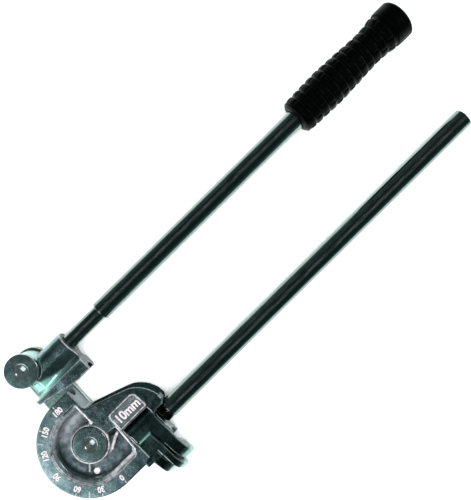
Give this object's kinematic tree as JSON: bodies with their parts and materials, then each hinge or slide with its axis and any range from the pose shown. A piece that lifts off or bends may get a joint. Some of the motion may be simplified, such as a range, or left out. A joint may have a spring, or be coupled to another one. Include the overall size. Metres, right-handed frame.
{
  "type": "lever tube bender",
  "caption": "Hand lever bender for 10 mm tube: half-round former with a degree scale, swing-over hook, pivoting forming shoe, rear link, two chromed handles and a ribbed rubber grip.",
  "frame": {"origin": "on the main pivot axis, at the rear end of the centre pin, which is level with the back of the rear link", "axes": "+X along the fixed handle, away from the former; +Y from the fixed handle towards the moving handle as shown; +Z out of the dial side, along both pivot pins"},
  "size_m": [0.387, 0.1365, 0.0296],
  "materials": {
    "cast_alloy": "die-cast, tumbled",
    "hook_cast": "dark cast",
    "chrome_tube": "bright chrome plate",
    "pin_steel": "turned",
    "dark_steel": "black oxide",
    "link_steel": "satin plate",
    "bronze_bush": "sintered",
    "grip_rubber": "matt, ribbed",
    "plug_plastic": "matt"
  },
  "bodies": {
    "former": {"former_casting": "cast_alloy", "pivot_bush": "bronze_bush", "fixed_handle_tube": "chrome_tube", "fixed_handle_stud": "dark_steel", "fixed_handle_plug": "dark_steel", "fixed_handle_lock_nut": "dark_steel", "handle_end_plug": "plug_plastic", "hook_hinge_pin": "pin_steel"},
    "yoke": {"rear_link": "link_steel", "centre_pin": "pin_steel", "centre_head_washer": "pin_steel", "centre_thrust_washer": "bronze_bush", "outer_pin": "pin_steel", "outer_thrust_washer": "bronze_bush", "outer_head_washer": "pin_steel"},
    "shoe": {"shoe_casting": "cast_alloy", "shoe_eye_bush": "bronze_bush", "moving_handle_rod": "chrome_tube", "socket_roll_pin": "dark_steel", "moving_handle_sleeve": "chrome_tube", "rubber_grip": "grip_rubber"},
    "hook": {"tube_hook": "hook_cast"}
  },
  "joints": [
    {"name": "yoke_swing", "type": "hinge", "parent": "former", "child": "yoke", "pos_m": [0, 0, 0.0156], "axis": [0, 0, 1], "range_deg": [0, 180]},
    {"name": "shoe_pivot", "type": "hinge", "parent": "yoke", "child": "shoe", "pos_m": [0.0029, 0.0666, 0.0156], "axis": [0, 0, 1], "range_deg": [0, 90]},
    {"name": "hook_swing", "type": "hinge", "parent": "former", "child": "hook", "pos_m": [0.0337, -0.013, 0.0206], "axis": [-1, 0, 0], "range_deg": [0, 90]}
  ]
}
